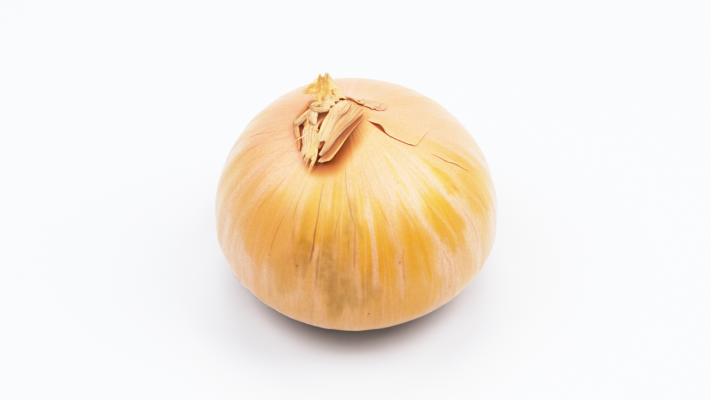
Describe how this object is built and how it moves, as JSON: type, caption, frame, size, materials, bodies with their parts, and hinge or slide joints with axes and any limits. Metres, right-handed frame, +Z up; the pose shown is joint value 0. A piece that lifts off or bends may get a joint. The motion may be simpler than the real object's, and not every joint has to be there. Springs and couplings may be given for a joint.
{
  "type": "onion",
  "caption": "Whole cured onion: a round, slightly squat bulb in golden papery skin, a bent tuft of dried leaf sheaths at the neck and a root plate in the base.",
  "frame": {"origin": "on the surface that the onion rests on, straight under the middle of the bulb", "axes": "+Z up from the root plate to the neck; -Y towards the side that the neck bends over to and the picture looks at, +X to the right of that side"},
  "size_m": [0.0884, 0.0884, 0.0787],
  "materials": {
    "skin": "satin",
    "dried_sheath": "matte",
    "dry_root": "matte"
  },
  "bodies": {
    "root": {"bulb": "skin", "neck": "dried_sheath", "roots": "dry_root"}
  },
  "joints": []
}
